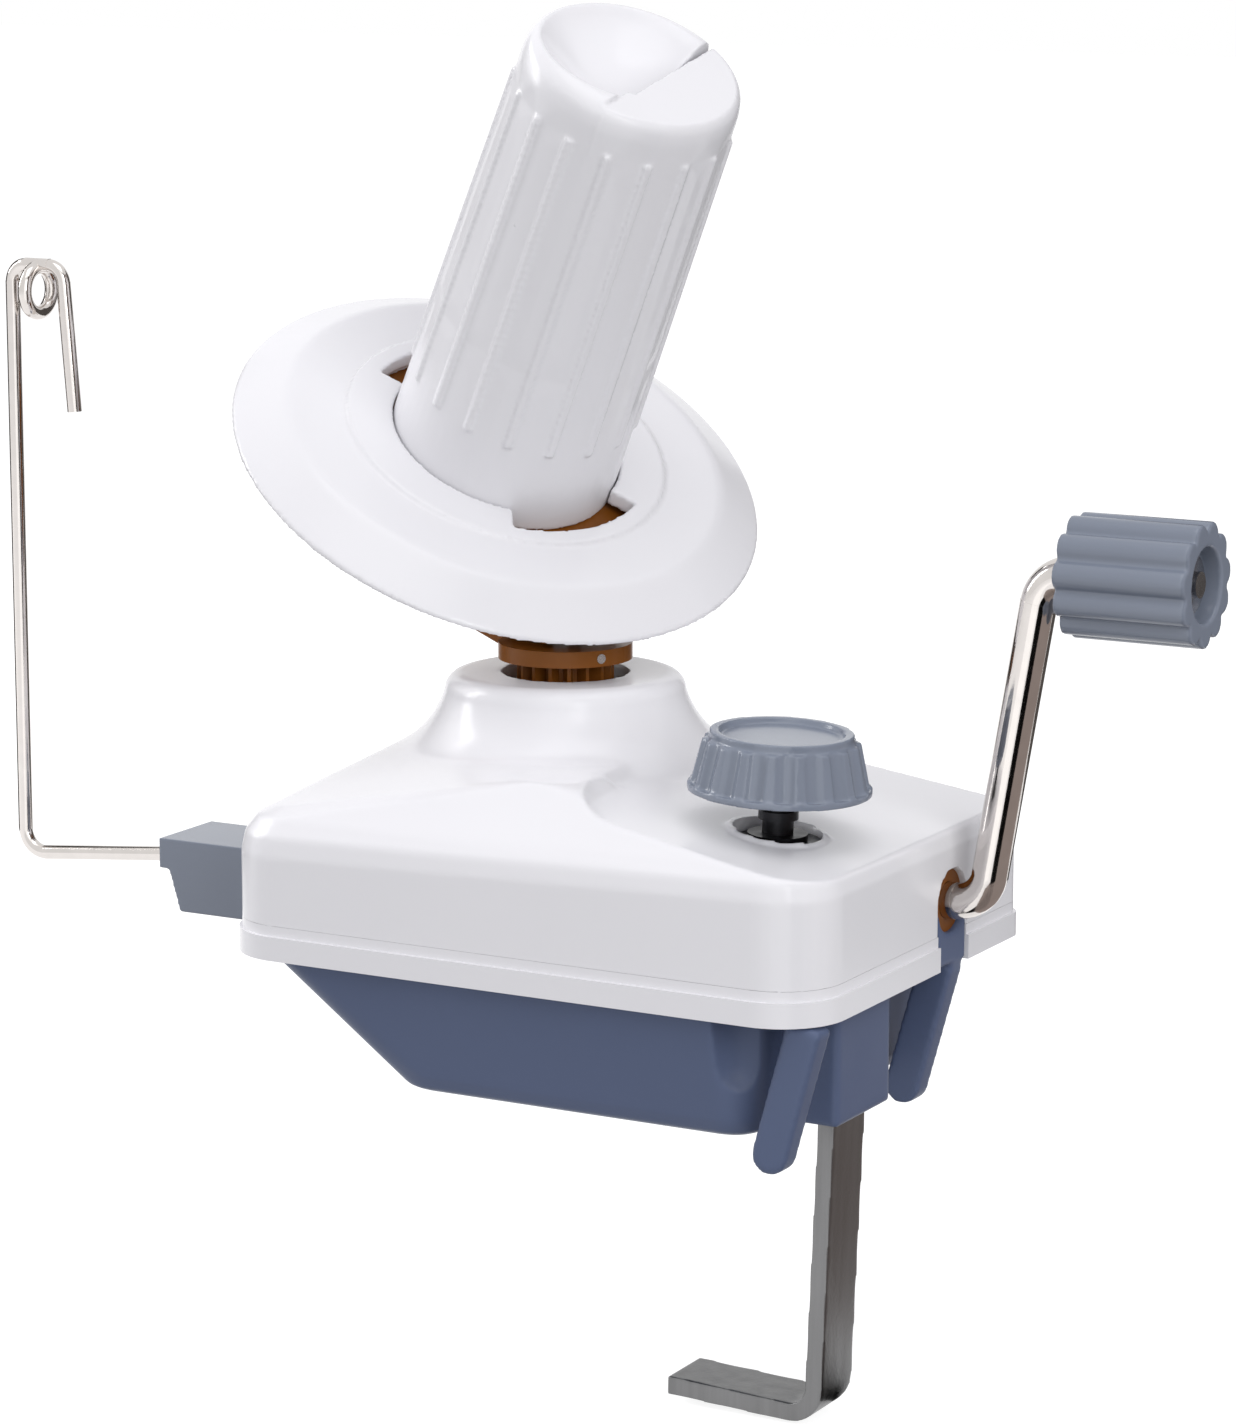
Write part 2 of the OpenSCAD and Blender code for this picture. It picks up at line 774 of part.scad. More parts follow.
// round hollow in the belly's front corner, grown by a wall
module scoop(grow) {
  translate([belly_right, -belly_front - belly_draft, scoop_low]) {
    sphere(r = scoop_radius + grow);
    pole(0, 0, scoop_radius + grow, 0, rim_height + grow - scoop_low);
  }
}

module base() {
  plate_top = plate_low + plate_thick;
  inner_box = box_half - base_wall;
  tab_half = bush_radius + running - plate_gap;
  color(blue_grey) {
    difference() {
      union() {
        belly(0, 0, plate_top);
        translate([0, 0, plate_low])
          linear_extrude(height = plate_thick)
            plan_outline(lip_step + cover_wall + plate_gap);
        intersection() {
          union() {
            fin(near_fin);
            fin(far_fin);
          }
          union() {
            pole(0, 0, block, -block / 2, rim_height - plate_gap);
            linear_extrude(height = plate_top)
              plan_outline(lip_step + cover_wall + plate_gap);
          }
        }
        translate([belly_right - belly_corner, knob_y - box_half, box_low])
          cube([box_end - belly_right + belly_corner, 2 * box_half, plate_low - box_low + weld]);
      }
      difference() {
        belly(base_wall, base_wall, plate_top + past);
        scoop(base_wall);
      }
      translate([belly_right - base_wall - belly_corner, knob_y - inner_box, box_low + base_wall])
        cube([box_end - belly_right + belly_corner, 2 * inner_box, block]);
      scoop(0);
      clamp_frame()
        translate([bar_reach - bar_gap, -bar_width / 2 - bar_gap, -block / 2])
          cube([bar_thick + 2 * bar_gap, bar_width + 2 * bar_gap, block / 2]);
      pole(0, 0, journal_radius + running, journal_low, block);
      pole(0, 0, post_radius, base_wall, block);
      for (spot = screw_spots)
        pole(spot[0], spot[1], fastener_radius + fastener_gap, -past, pillar_split);
      for (spot = screw_spots)
        pole(spot[0], spot[1], head_radius + head_gap, -past, head_seat(spot));
    }
    difference() {
      union() {
        pole(0, 0, boss_radius, base_wall / 2, boss_height);
        intersection() {
          belly(0, 0, pillar_split);
          for (spot = screw_spots)
            pole(spot[0], spot[1], pillar_radius, base_wall / 2, pillar_split);
        }
        translate([pillar_at, -crown_hub, base_wall / 2])
          cube([pillar_thick, 2 * crown_hub, crank_height - base_wall / 2]);
        translate([pillar_at, 0, crank_height])
          rotate([0, 90, 0])
            cylinder(r = crown_hub, h = pillar_thick);
        translate([cover_right - lip_step - cover_wall, -tab_half, plate_low])
          cube([cover_wall, 2 * tab_half, crank_height - plate_low]);
        translate([cover_right - lip_step - cover_wall - bush_length, -tab_half, plate_low])
          cube([bush_length, 2 * tab_half, crank_height - plate_low]);
      }
      pole(0, 0, journal_radius + running, journal_low, block);
      pole(0, 0, post_radius, base_wall, block);
      translate([0, 0, crank_height])
        rotate([0, 90, 0])
          cylinder(r = rod_radius + running, h = pillar_at + pillar_thick + past);
      translate([cover_right - cover_corner - bush_length, 0, crank_height])
        rotate([0, 90, 0])
          cylinder(r = bush_radius, h = block);
      for (spot = screw_spots)
        pole(spot[0], spot[1], fastener_radius + fastener_gap, -past, pillar_split + past);
      for (spot = screw_spots)
        pole(spot[0], spot[1], head_radius + head_gap, -past, head_seat(spot));
    }
  }
}

module cover_screws() {
  color(steel)
    for (spot = screw_spots) {
      seat = head_seat(spot);
      pole(spot[0], spot[1], fastener_radius, seat - weld, pillar_split + bite - weld);
      difference() {
        pole(spot[0], spot[1], head_radius, seat - head_height, seat);
        for (turn = [0, 90])
          translate([spot[0], spot[1], seat - head_height])
            rotate([0, 0, turn])
              cube([head_radius, weld, head_height], center = true);
      }
    }
}

module crank_bush() {
  color(brown)
    translate([cover_right - lip_step - bush_recess - bush_length, 0, crank_height])
      rotate([0, 90, 0])
        difference() {
          cylinder(r = bush_radius, h = bush_length);
          translate([0, 0, -past])
            cylinder(r = rod_radius + running, h = bush_length + 2 * past);
        }
}

module spindle_post() {
  color(steel)
    pole(0, 0, post_radius, base_wall, apex - sun_high);
}

module sun_gear() {
  pitch = sun_low * tan(sun_cone);
  size = 2 * pitch / sun_teeth;
  color(brown)
    rotate([0, 0, lean_heading])
      difference() {
        translate([0, 0, apex - sun_low])
          linear_extrude(height = sun_low - sun_high, scale = sun_high / sun_low)
            rotate(180 / sun_teeth)
              gear_outline(sun_teeth, pitch - bevel_foot * size, pitch + bevel_head * size, sun_root_half,
                sun_tip_half);
        pole(0, 0, post_radius, 0, apex);
      }
}

module carrier() {
  color(brown)
    difference() {
      union() {
        pole(0, 0, journal_radius, journal_low + running, pinion_low + weld);
        translate([0, 0, pinion_low])
          linear_extrude(height = flange_low + weld - pinion_low)
            rotate(180 / pinion_teeth)
              gear_outline(pinion_teeth, pinion_root, pinion_tip, pinion_root_half, pinion_tip_half);
        pole(0, 0, flange_radius, flange_low, flange_top);
        rotate([0, 0, lean_heading])
          translate([0, arm_half, 0])
            rotate([90, 0, 0])
              linear_extrude(height = 2 * arm_half)
                polygon([[0, flange_low + weld], [-arm_root, flange_low + weld],
                  lean_point(axle_boss_low, axle_boss - weld), lean_point(axle_boss_low, 0),
                  lean_point(boss_high, 0), lean_point(boss_high, axle_boss - weld),
                  [-arm_root, flange_top - weld], [0, flange_top - weld]]);
        lean_frame()
          pole(0, 0, axle_boss, -axle_boss_low, -boss_high);
      }
      pole(0, 0, post_radius + running, 0, apex);
      pole(0, 0, sun_reach + table_play, apex - sun_low - table_play, apex);
      lean_frame() {
        pole(0, 0, axle_radius, axle_floor - axle_boss_low, 0);
        pole(0, 0, table_reach + table_play, -boss_high, 0);
      }
      cross_pin_body(0);
    }
}

module cross_pin_body(proud) {
  rotate([0, 0, lean_heading])
    translate([post_radius + pin_wall, 0, (flange_low + flange_top) / 2])
      rotate([0, 90, 0])
        cylinder(r = cross_pin, h = flange_radius - post_radius - pin_wall + proud + (proud > 0 ? 0 : past));
}

module cross_pin() {
  color(steel)
    cross_pin_body(pin_proud);
}

module tilt_axle() {
  color(steel)
    lean_frame()
      pole(0, 0, axle_radius, axle_floor - axle_boss_low, -sleeve_top + table_play);
}

module turntable() {
  pitch = table_gear_low * tan(table_cone);
  size = 2 * pitch / table_teeth;
  color(brown)
    lean_frame()
      difference() {
        union() {
          pole(0, 0, table_radius, -table_depth, -table_depth + table_plate);
          pole(0, 0, table_neck, -table_gear_low, -table_depth + weld);
          translate([0, 0, -table_gear_low])
            linear_extrude(height = table_face, scale = gear_depth / table_gear_low)
              gear_outline(table_teeth, pitch - bevel_foot * size, pitch + bevel_head * size, table_root_half,
                table_tip_half);
          pole(0, 0, sleeve_radius, -table_depth, -sleeve_top);
        }
        pole(0, 0, axle_radius + running, -block, block);
      }
}

module axle_screw() {
  low = -sleeve_top + table_play;
  color(steel)
    lean_frame()
      difference() {
        pole(0, 0, sleeve_radius - axle_step, low, low + head_height);
        for (turn = [0, 90])
          rotate([0, 0, turn])
            translate([0, 0, low + head_height])
              cube([sleeve_radius, weld * 2, head_height], center = true);
      }
}

module ring_part(inner, outer, low, high, start, angle) {
  rotate([0, 0, start])
    rotate_extrude(angle = angle)
      translate([inner, low])
        square([outer - inner, high - low]);
}

module flange_disc() {
  ring_top = -disc_top + disc_ring_step;
  under = -disc_top - disc_wall;
  table_edge = table_radius + table_gap;
  bayonet_edge = bayonet_radius + bayonet_wall;
  color(white)
    lean_frame()
      difference() {
        rotate_extrude($fn = 128)
          polygon([
            [cone_base + cone_gap, ring_top], [disc_ring, ring_top], [disc_ring, -disc_top],
            [disc_flat_radius, -disc_top], [disc_radius, -disc_low + edge_land], [disc_radius, -disc_low],
            [disc_radius - disc_wall, -disc_low], [disc_flat_radius - edge_land, under],
            [table_edge + locating_wall, under], [table_edge + locating_wall, -table_depth],
            [table_edge, -table_depth], [table_edge, table_plate - table_depth],
            [bayonet_edge, table_plate - table_depth], [bayonet_edge, under],
            [cone_base + cone_gap, under]]);
        for (half = [0, 180])
          ring_part(cone_base - weld, bayonet_radius, under - past, past - disc_top, bayonet_start + half,
            bayonet_angle);
      }
}

module cone_outline(inset) {
  low = -disc_top - disc_wall - lug_thick;
  round_z = cone_top - cone_round;
  polygon([[0, low], [cone_base - inset, low], [cone_base - inset, -disc_top],
    [cone_tip - inset, round_z - inset], [0, round_z - inset]]);
  if (inset == 0) {
    translate([0, round_z - weld])
      square([cone_tip - cone_round, cone_round + weld]);
    intersection() {
      translate([cone_tip - cone_round, round_z])
        circle(r = cone_round);
      translate([0, round_z - weld])
        square([cone_tip, 2 * cone_round]);
    }
  }
}

module winding_cone() {
  low = -disc_top - disc_wall - lug_thick;
  taper = atan((cone_base - cone_tip) / (disc_top + cone_top - cone_round));
  rib_at = cone_base - (disc_top - rib_low) * tan(taper);
  dish_ball = (dish_radius * dish_radius + dish_depth * dish_depth) / (2 * dish_depth);
  cap = cone_top - dish_depth - 2 * cone_wall;
  color(white)
    lean_frame()
      difference() {
        union() {
          rotate_extrude($fn = 96)
            cone_outline(0);
          for (half = [0, 180])
            ring_part(cone_base - weld, bayonet_radius - lug_gap, low, low + lug_thick - table_gap,
              bayonet_start + bayonet_angle + lug_turn + half, lug_angle);
          for (i = [0 : rib_count - 1])
            rotate([0, 0, i * 360 / rib_count + rib_turn])
              translate([rib_at - weld, -rib_width / 2, -rib_low])
                rotate([0, -taper, 0])
                  cube([rib_rise + weld, rib_width, rib_length]);
        }
        intersection() {
          rotate_extrude($fn = 96)
            cone_outline(cone_wall);
          pole(0, 0, cone_base, low - past, cap);
        }
        pole(0, 0, cone_base - cone_wall, low - past, -disc_top);
        rotate([0, 0, slit_heading]) {
          intersection() {
            translate([0, dish_offset, cone_top - dish_depth + dish_ball])
              sphere(r = dish_ball);
            translate([-block / 2, -slit_offset - slit_width / 2, 0])
              cube(block);
          }
          translate([-cone_base, -slit_offset - slit_width / 2, cone_top - slit_depth])
            cube([2 * cone_base, slit_width, slit_depth + past]);
          translate([-cone_base, -slit_offset - 2 * cone_base, cone_top - flap_step])
            cube([2 * cone_base, 2 * cone_base, slit_depth]);
        }
      }
}

module crank_rod() {
  bend_radius = rod_radius - thinning;
  color(steel) {
    translate([rod_start, 0, crank_height])
      rotate([0, 90, 0])
        cylinder(r = rod_radius, h = rod_out + lap - rod_start);
    translate([rod_out, 0, crank_height + bend_low])
      rotate([90, 0, 0])
        rotate([0, 0, -90])
          rotate_extrude(angle = 90 - arm_lean)
            translate([bend_low, 0])
              circle(r = bend_radius);
    translate([elbow_x, 0, elbow_z])
      rotate([0, arm_lean, 0])
        translate([0, 0, -lap])
          cylinder(r = rod_radius, h = arm_length + 2 * lap);
    translate([grip_start, 0, grip_axis - bend_high])
      rotate([90, 0, 0])
        rotate([0, 0, 90])
          rotate_extrude(angle = 90 - arm_lean)
            translate([bend_high, 0])
              circle(r = bend_radius);
    translate([grip_start - lap, 0, grip_axis])
      rotate([0, 90, 0])
        cylinder(r = rod_radius, h = grip_length + 2 * grip_play + lap - grip_bore_depth);
  }
}

module crown_gear() {
  color(brown)
    translate([0, 0, crank_height])
      difference() {
        union() {
          translate([crown_tooth_root, 0, 0])
            rotate([0, 90, 0]) {
              cylinder(r = crown_edge, h = crown_plate);
              cylinder(r = crown_hub, h = crown_plate + crown_hub_length);
            }
          for (i = [0 : crown_teeth - 1])
            rotate([i * 360 / crown_teeth, 0, 0])
              translate([0, 0, crown_inner])
                linear_extrude(height = crown_face)
                  polygon([[crown_tooth_tip, -crown_tip_half], [crown_tooth_tip, crown_tip_half],
                    [crown_tooth_root, crown_root_half], [crown_tooth_root + weld, crown_root_half],
                    [crown_tooth_root + weld, -crown_root_half], [crown_tooth_root, -crown_root_half]]);
        }
        translate([rod_start, 0, 0])
          rotate([0, 90, 0])
            cylinder(r = rod_radius, h = block);
      }
}

module rod_clip() {
  color(steel)
    translate([pillar_at + pillar_thick + clip_play, 0, crank_height])
      rotate([0, 90, 0])
        difference() {
          cylinder(r = rod_radius + clip_step, h = clip_thick);
          translate([0, 0, -past])
            cylinder(r = rod_radius, h = clip_thick + 2 * past);
        }
}

module grip_rivet() {
  seat = grip_start + grip_length + 2 * grip_play - grip_bore_depth;
  color(steel)
    translate([seat, 0, grip_axis])
      rotate([0, 90, 0]) {
        cylinder(r = grip_bore - rivet_step, h = rivet_thick);
        cylinder(r = rod_radius - rivet_pin, h = rivet_length);
      }
}

module crank_grip() {
  ring = grip_radius - lobe_radius;
  color(blue_grey)
    translate([grip_start + grip_play, 0, grip_axis])
      rotate([0, 90, 0])
        difference() {
          linear_extrude(height = grip_length) {
            circle(r = ring + lobe_radius * lobe_sink);
            for (i = [0 : grip_lobes - 1])
              rotate(i * 360 / grip_lobes)
                translate([ring, 0])
                  circle(r = lobe_radius);
          }
          translate([0, 0, -past])
            cylinder(r = rod_radius + running, h = grip_length + 2 * past);
          translate([0, 0, grip_length - grip_bore_depth])
            cylinder(r = grip_bore, h = grip_bore_depth + past);
        }
}

module clamp_knob() {
  shoulder = knob_height - knob_rim_rise;
  skirt = knob_radius - knob_flange_step;
  slant = atan((skirt - knob_shoulder) / (shoulder - knob_flange));
  dish_edge = knob_rim - knob_rim_width;
  color(blue_grey)
    clamp_frame()
      translate([0, 0, knob_lift])
        difference() {
          rotate_extrude()
            polygon([[0, 0], [knob_radius, 0], [knob_radius, knob_flange], [skirt, knob_flange],
              [knob_shoulder, shoulder], [knob_rim, shoulder + knob_rim_fall], [knob_rim, knob_height],
              [dish_edge, knob_height], [dish_edge - knob_dish_run, knob_height - knob_dish],
              [0, knob_height - knob_dish]]);
          for (i = [0 : knob_flutes - 1])
            rotate([0, 0, i * 360 / knob_flutes])
              translate([skirt + flute_radius - flute_depth, 0, knob_flange])
                rotate([0, -slant, 0])
                  cylinder(r = flute_radius, h = knob_height);
          difference() {
            pole(0, 0, knob_shoulder - knob_wall - knob_core_gap, -past, shoulder - knob_wall);
            pole(0, 0, screw_radius + knob_wall, -2 * past, knob_height);
          }
          pole(0, 0, screw_radius, -past, shoulder - knob_wall);
        }
}

module clamp_screw() {
  shoulder = -recess_depth + washer_thick + screw_play;
  color(black)
    clamp_frame() {
      pole(0, 0, screw_radius, -screw_length, knob_lift + knob_height - knob_rim_rise - knob_wall);
      pole(0, 0, recess_radius - screw_shoulder_gap, shoulder, shoulder + screw_shoulder_thick);
      pole(0, 0, screw_radius + screw_collar, knob_lift - screw_collar_height, knob_lift);
    }
}

module clamp_washer() {
  color(black)
    clamp_frame()
      difference() {
        pole(0, 0, recess_radius, -recess_depth, -recess_depth + washer_thick);
        pole(0, 0, screw_radius + washer_gap, -block, block);
      }
}

// quarter bend of the flat bar, from +X toward +Y
module bar_corner() {
  intersection() {
    difference() {
      circle(r = bar_bend);
      circle(r = bar_bend - bar_thick);
    }
    square(bar_bend);
  }
}

module clamp_bar() {
  outer = bar_reach + bar_thick;
  arm_top = -arm_depth;
  foot_low = -foot_depth - bar_thick;
  color(steel)
    clamp_frame()
      difference() {
        translate([0, bar_width / 2, 0])
          rotate([90, 0, 0])
            linear_extrude(height = bar_width) {
              translate([bar_reach, foot_low + bar_bend])
                square([bar_thick, arm_top - foot_low - 2 * bar_bend]);
              translate([-arm_reach, arm_top - bar_thick])
                square([outer - bar_bend + arm_reach, bar_thick]);
              translate([-foot_reach, foot_low])
                square([outer - bar_bend + foot_reach, bar_thick]);
              translate([outer - bar_bend, arm_top - bar_bend])
                bar_corner();
              translate([outer - bar_bend, foot_low + bar_bend])
                mirror([0, 1])
                  bar_corner();
            }
        pole(0, 0, screw_radius + running, arm_top - bar_bend, arm_top + past);
      }
}

module guide_holder() {
  left = -cover_left - holder_length;
  tab_low = holder_low + nose_height;
  tab_high = holder_top - nose_height + nose_length;
  color(blue_grey)
    difference() {
      union() {
        translate([0, guide_y + holder_width / 2, 0])
          rotate([90, 0, 0])
            linear_extrude(height = holder_width)
              polygon([[left, holder_top], [-cover_left, holder_top], [-cover_left, holder_low],
                [left + nose_length, holder_low], [left + holder_notch, holder_top - nose_height],
                [left, holder_top - nose_height]]);
        translate([-cover_left - weld, guide_y - tab_width / 2 + tab_gap, tab_low + tab_gap])
          cube([tab_length, tab_width - 2 * tab_gap, tab_high - tab_low - 2 * tab_gap]);
      }
      translate([left, guide_y, wire_height])
        rotate([0, -wire_droop, 0])
          rotate([0, 90, 0])
            translate([0, 0, -past])
              cylinder(r = wire_radius + running, h = holder_length - bore_floor + past);
    }
}

module guide_wire() {
  left = -cover_left - holder_length;
  lower = (wire_out - cover_left - holder_length) / cos(wire_droop) - elbow_cut;
  hook_x = -wire_out + 2 * hook_bend + hook_span;
  bend_radius = wire_radius - thinning;
  color(steel)
    translate([0, guide_y, 0]) {
      translate([left, 0, wire_height])
        rotate([0, -wire_droop, 0])
          rotate([0, 90, 0])
            translate([0, 0, -lower - lap])
              cylinder(r = wire_radius, h = lower + lap + holder_length - bore_floor - wire_end_gap);
      translate([-wire_out + elbow_radius, 0, wire_corner + elbow_cut])
        rotate([90, 0, 0])
          rotate([0, 0, 180])
            rotate_extrude(angle = 90 + wire_droop)
              translate([elbow_radius, 0])
                circle(r = bend_radius);
      pole(-wire_out, 0, wire_radius, wire_corner + elbow_cut - lap, wire_top - hook_bend + lap);
      translate([-wire_out + hook_bend, 0, wire_top - hook_bend])
        rotate([90, 0, 0])
          rotate([0, 0, 90])
            rotate_extrude(angle = 90)
              translate([hook_bend, 0])
                circle(r = bend_radius);
      translate([-wire_out + hook_bend - lap, 0, wire_top])
        rotate([0, 90, 0])
          cylinder(r = wire_radius, h = hook_span + 2 * lap);
      translate([-wire_out + hook_bend + hook_span / 2, 0, wire_top - eye_radius - wire_radius / 4])
        rotate([0, 90, 0])
          rotate_extrude()
            translate([eye_radius, 0])
              circle(r = bend_radius);
      translate([hook_x - hook_bend, 0, wire_top - hook_bend])
        rotate([90, 0, 0])
          rotate([0, 0, hook_lean])
            rotate_extrude(angle = 90 - hook_lean)
              translate([hook_bend, 0])
                circle(r = bend_radius);
      translate([hook_x - hook_bend, 0, wire_top - hook_bend])
        rotate([0, -hook_lean, 0])
          translate([hook_bend, 0, -hook_length])
            cylinder(r = wire_radius, h = hook_length + lap);
    }
}

cover();
base();
cover_screws();
crank_bush();
spindle_post();
sun_gear();
clamp_washer();
guide_holder();
guide_wire();
carrier();
cross_pin();
tilt_axle();
turntable();
axle_screw();
flange_disc();
winding_cone();
crank_rod();
crown_gear();
rod_clip();
grip_rivet();
crank_grip();
clamp_knob();
clamp_screw();
clamp_bar();
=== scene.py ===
import json
import math

import bpy
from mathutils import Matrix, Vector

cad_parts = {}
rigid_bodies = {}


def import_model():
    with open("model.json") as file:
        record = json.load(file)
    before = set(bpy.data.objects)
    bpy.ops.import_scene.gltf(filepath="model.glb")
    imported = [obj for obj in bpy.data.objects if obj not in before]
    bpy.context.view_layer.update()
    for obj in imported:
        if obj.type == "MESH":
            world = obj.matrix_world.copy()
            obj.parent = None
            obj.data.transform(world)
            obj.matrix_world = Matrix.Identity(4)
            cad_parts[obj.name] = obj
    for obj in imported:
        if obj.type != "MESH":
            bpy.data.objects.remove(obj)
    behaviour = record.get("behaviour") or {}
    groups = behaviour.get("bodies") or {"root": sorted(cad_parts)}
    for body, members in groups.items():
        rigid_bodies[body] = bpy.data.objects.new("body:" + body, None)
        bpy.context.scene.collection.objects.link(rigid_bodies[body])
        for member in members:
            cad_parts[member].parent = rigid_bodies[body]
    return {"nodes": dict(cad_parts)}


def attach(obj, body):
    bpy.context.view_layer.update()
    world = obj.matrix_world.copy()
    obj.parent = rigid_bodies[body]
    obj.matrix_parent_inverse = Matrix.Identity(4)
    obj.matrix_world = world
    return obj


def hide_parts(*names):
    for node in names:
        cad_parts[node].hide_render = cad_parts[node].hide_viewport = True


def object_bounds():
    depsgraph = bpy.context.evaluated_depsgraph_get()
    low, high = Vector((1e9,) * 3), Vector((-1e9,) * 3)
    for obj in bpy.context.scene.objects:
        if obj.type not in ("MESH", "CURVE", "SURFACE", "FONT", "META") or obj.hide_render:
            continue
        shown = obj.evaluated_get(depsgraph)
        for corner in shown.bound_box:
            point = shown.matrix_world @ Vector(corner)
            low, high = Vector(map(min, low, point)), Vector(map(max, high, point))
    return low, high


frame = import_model()
solid_low, solid_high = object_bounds()
nodes = frame["nodes"]
scene = bpy.context.scene
bpy.ops.object.select_all(action="DESELECT")


def new_material(name):
    """A new material with its tree, its shader and the piece's coordinates."""
    mat = bpy.data.materials.new(name)
    mat.use_nodes = True
    tree = mat.node_tree
    place = tree.nodes.new("ShaderNodeTexCoord").outputs["Object"]
    return mat, tree, tree.nodes["Principled BSDF"], place


def noise_layer(tree, place, scale, detail, distortion=0):
    """Soft mottling of a given fineness."""
    noise = tree.nodes.new("ShaderNodeTexNoise")
    noise.inputs["Scale"].default_value = scale
    noise.inputs["Detail"].default_value = detail
    noise.inputs["Distortion"].default_value = distortion
    tree.links.new(place, noise.inputs["Vector"])
    return noise.outputs["Fac"]


def tint_by(tree, shader, layer, colour, spread, margin):
    """Colour that swings a little around its mean, following a layer."""
    tint = tree.nodes.new("ShaderNodeValToRGB")
    dark, light = tint.color_ramp.elements
    dark.position = margin
    dark.color = (*[part * (1 - spread) for part in colour], 1)
    light.position = 1 - margin
    light.color = (*[part * (1 + spread) for part in colour], 1)
    tree.links.new(layer, tint.inputs["Fac"])
    tree.links.new(tint.outputs["Color"], shader.inputs["Base Color"])


def gloss_by(tree, shader, layer, smooth, dull):
    """Roughness between two values, following a layer."""
    gloss = tree.nodes.new("ShaderNodeMapRange")
    gloss.inputs["From Min"].default_value = 0.3
    gloss.inputs["From Max"].default_value = 0.7
    gloss.inputs["To Min"].default_value = smooth
    gloss.inputs["To Max"].default_value = dull
    tree.links.new(layer, gloss.inputs["Value"])
    tree.links.new(gloss.outputs["Result"], shader.inputs["Roughness"])


def relief_by(tree, shader, layer, strength, depth):
    """Fine relief of the skin, following a layer."""
    relief = tree.nodes.new("ShaderNodeBump")
    relief.inputs["Strength"].default_value = strength
    relief.inputs["Distance"].default_value = depth
    tree.links.new(layer, relief.inputs["Height"])
    tree.links.new(relief.outputs["Normal"], shader.inputs["Normal"])


def moulded_plastic(name, colour, spread, rough, orange_peel, shine=0.5):
    """Injection-moulded plastic: faint clouding of the colour where the melt
    flowed, gloss that follows the mould's polish, and the shallow orange peel
    of the skin."""
    mat, tree, shader, place = new_material(name)
    shader.inputs["IOR"].default_value = 1.5
    shader.inputs["Specular IOR Level"].default_value = shine
    flow = noise_layer(tree, place, scale=26, detail=3, distortion=0.6)
    tint_by(tree, shader, flow, colour, spread, margin=0.25)
    polish = noise_layer(tree, place, scale=90, detail=5)
    gloss_by(tree, shader, polish, rough - 0.03, rough + 0.03)
    peel = noise_layer(tree, place, scale=700, detail=2)
    relief_by(tree, shader, peel, orange_peel, depth=0.0002)
    return mat


def apply_modifier(piece, kind, **settings):
    """Adds one modifier, sets it up and applies it."""
    step = piece.modifiers.new(kind.lower(), kind)
    for key, value in settings.items():
        setattr(step, key, value)
    bpy.ops.object.modifier_apply(modifier=step.name)


def node_copy(node):
    """A copy of a solid with its faces merged, selected and ready to work on."""
    bpy.ops.object.select_all(action="DESELECT")
    piece = bpy.data.objects.new(node + "_moulded", nodes[node].data.copy())
    scene.collection.objects.link(piece)
    bpy.context.view_layer.objects.active = piece
    piece.select_set(True)
    bpy.ops.object.mode_set(mode="EDIT")
    bpy.ops.mesh.select_all(action="SELECT")
    bpy.ops.mesh.remove_doubles(threshold=0.000002)
    bpy.ops.object.mode_set(mode="OBJECT")
    bpy.ops.mesh.customdata_custom_splitnormals_clear()
    return piece


def cut_flat(piece, height, keep_above):
    """Cuts a piece level, keeps one side and closes the cut."""
    bpy.context.view_layer.objects.active = piece
    bpy.ops.object.mode_set(mode="EDIT")
    bpy.ops.mesh.select_all(action="SELECT")
    bpy.ops.mesh.bisect(
        plane_co=(0, 0, height),
        plane_no=(0, 0, 1),
        clear_inner=keep_above,
        clear_outer=not keep_above,
        use_fill=True,
    )
    bpy.ops.object.mode_set(mode="OBJECT")


def join_into(piece, other):
    """Makes another piece part of this one."""
    bpy.ops.object.select_all(action="DESELECT")
    other.select_set(True)
    piece.select_set(True)
    bpy.context.view_layer.objects.active = piece
    bpy.ops.object.join()


def drop_crumbs(piece):
    """Keeps the body that reaches furthest and deletes loose specks."""
    furthest = max(piece.data.vertices, key=lambda corner: corner.co.x).index
    bpy.ops.object.mode_set(mode="EDIT")
    bpy.ops.mesh.select_all(action="DESELECT")
    bpy.ops.object.mode_set(mode="OBJECT")
    piece.data.vertices[furthest].select = True
    bpy.ops.object.mode_set(mode="EDIT")
    bpy.ops.mesh.select_linked()
    bpy.ops.mesh.select_all(action="INVERT")
    bpy.ops.mesh.delete(type="VERT")
    bpy.ops.object.mode_set(mode="OBJECT")


def resample(piece, grain, passes, keep, softness=None, soft_passes=0):
    """Gives a piece the rounded edges and blended creases of a moulding: its
    surface is resampled at a grain, evened out all over, and evened out more
    where softness(point) says so. keep is the share of faces that stays."""
    apply_modifier(piece, "REMESH", mode="VOXEL", voxel_size=grain)
    drop_crumbs(piece)
    apply_modifier(piece, "SMOOTH", factor=0.5, iterations=passes)
    if softness:
        group = piece.vertex_groups.new(name="soft")
        for corner in piece.data.vertices:
            group.add([corner.index], softness(corner.co), "REPLACE")
        apply_modifier(piece, "SMOOTH", factor=0.5, iterations=soft_passes, vertex_group="soft")
        piece.vertex_groups.clear()
    apply_modifier(piece, "DECIMATE", ratio=keep)
    bpy.ops.object.shade_smooth()


def fit_in_place(piece, node, body, mat):
    """The finished piece takes its solid's place, body and material slot."""
    piece.data.materials.clear()
    piece.data.materials.append(mat)
    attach(piece, body)
    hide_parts(node)
    piece.select_set(False)


def ramp(value, start, end):
    """0 before start, 1 after end."""
    return min(max((value - start) / (end - start), 0), 1)


knob_place = (0.0528, -0.0254)
slot_place = (0.072, 0.0, 0.0285)


